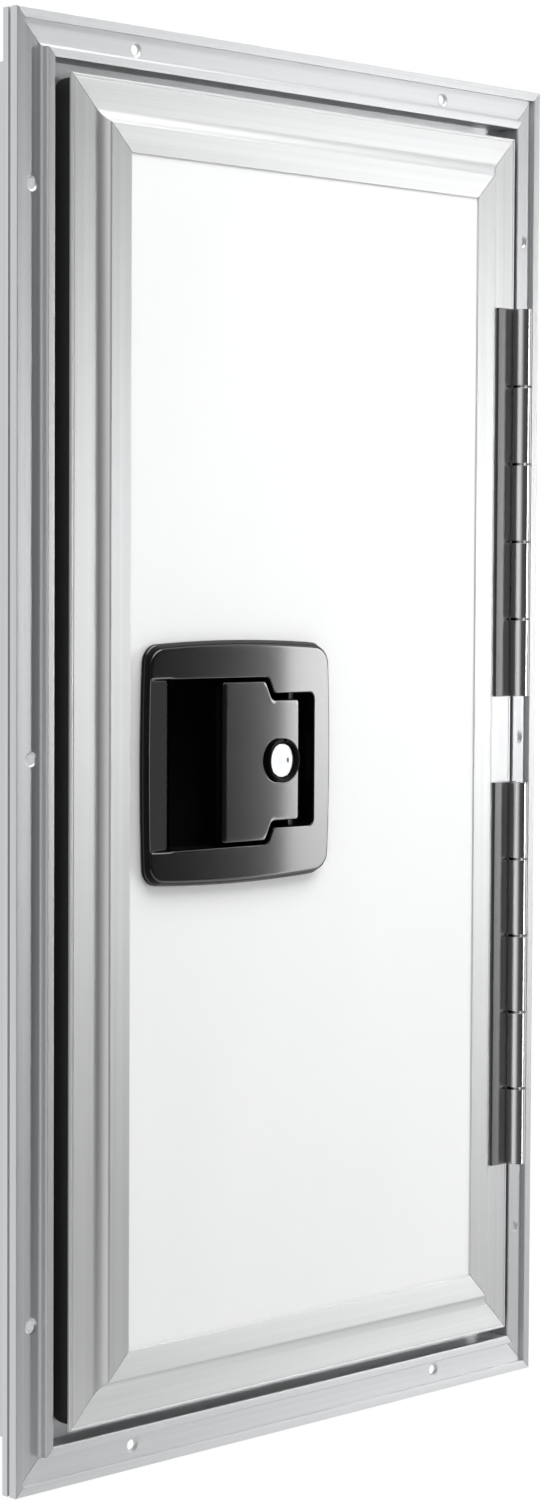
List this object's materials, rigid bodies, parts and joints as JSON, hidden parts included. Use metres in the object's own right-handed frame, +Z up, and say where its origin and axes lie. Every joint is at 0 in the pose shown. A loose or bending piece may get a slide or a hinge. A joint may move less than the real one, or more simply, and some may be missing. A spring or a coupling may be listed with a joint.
{
  "type": "rv baggage door",
  "caption": "Side-hinged baggage door with a mitred aluminium frame and leaf, a white sandwich panel, knuckle hinges, a bulb seal and a flush paddle latch with a key lock.",
  "frame": {"origin": "middle of the frame, on the outside face of the wall skin; it is also the middle of the bounding box", "axes": "+X to the right seen from outside (the hinge side), +Y into the wall, +Z up"},
  "size_m": [0.36, 0.056, 0.673],
  "materials": {
    "frame_aluminium": "mill-finish extrusion with fine lengthwise lines",
    "leaf_aluminium": "mill-finish extrusion with fine lengthwise lines",
    "hinge_aluminium": "satin",
    "steel": "zinc plated",
    "panel_white": "white gloss",
    "foam": "rigid foam",
    "seal_rubber": "black sponge rubber",
    "latch_black": "black moulding, semi-gloss",
    "black_plastic": "moulded black",
    "lock_chrome": "bright"
  },
  "bodies": {
    "frame": {"frame_top_rail": "frame_aluminium", "frame_bottom_rail": "frame_aluminium", "frame_left_stile": "frame_aluminium", "frame_right_stile": "frame_aluminium", "frame_corner_keys": "steel", "strike_plate": "steel", "strike_rivets": "steel", "upper_hinge_frame_plate": "hinge_aluminium", "lower_hinge_frame_plate": "hinge_aluminium", "hinge_pins": "steel", "hinge_frame_rivets": "hinge_aluminium"},
    "leaf": {"leaf_top_rail": "leaf_aluminium", "leaf_bottom_rail": "leaf_aluminium", "leaf_left_stile": "leaf_aluminium", "leaf_right_stile": "leaf_aluminium", "leaf_corner_keys": "steel", "outer_skin": "panel_white", "foam_core": "foam", "inner_skin": "panel_white", "bulb_seal": "seal_rubber", "upper_hinge_leaf_plate": "hinge_aluminium", "lower_hinge_leaf_plate": "hinge_aluminium", "hinge_leaf_rivets": "hinge_aluminium", "latch_bezel": "latch_black", "latch_gasket": "seal_rubber", "latch_case": "black_plastic", "lever_pin": "steel", "latch_backplate": "black_plastic", "latch_screws": "steel", "paddle_pin": "steel", "paddle_spring": "steel", "bolt_spring": "steel"},
    "paddle": {"paddle": "latch_black", "lock_housing": "black_plastic", "lock_nut": "steel"},
    "lock_plug": {"lock_plug": "lock_chrome", "lock_cam": "steel", "cam_screw": "steel"},
    "transfer_lever": {"transfer_lever": "steel"},
    "latch_bolt": {"latch_bolt": "steel"}
  },
  "joints": [
    {"name": "door_swing", "type": "hinge", "parent": "frame", "child": "leaf", "pos_m": [0.15445, -0.02055, 0], "axis": [0, 0, 1], "range_deg": [0, 175]},
    {"name": "paddle_pull", "type": "hinge", "parent": "leaf", "child": "paddle", "pos_m": [-0.01028, -0.015, -0.0044], "axis": [0, 0, 1], "range_deg": [0, 30], "stiffness_Nm_per_rad": 0.08, "springref_deg": -28.65, "deforming": ["paddle_spring"]},
    {"name": "lever_swing", "type": "hinge", "parent": "leaf", "child": "transfer_lever", "pos_m": [-0.01998, 0.0078, 0.0086], "axis": [0, 1, 0], "range_deg": [-33, 0]},
    {"name": "bolt_slide", "type": "slide", "parent": "leaf", "child": "latch_bolt", "axis": [1, 0, 0], "range_m": [0, 0.0085], "stiffness_N_per_m": 150, "springref_m": -0.01, "deforming": ["bolt_spring"]},
    {"name": "lock_turn", "type": "hinge", "parent": "paddle", "child": "lock_plug", "pos_m": [-0.02648, -0.01, -0.0045], "axis": [0, 1, 0], "range_deg": [0, 90]}
  ],
  "couplings": [
    {"joint": "lever_swing", "follows": "paddle_pull", "ratio": -1.1},
    {"joint": "bolt_slide", "follows": "paddle_pull", "m_per_rad": 0.016233}
  ]
}
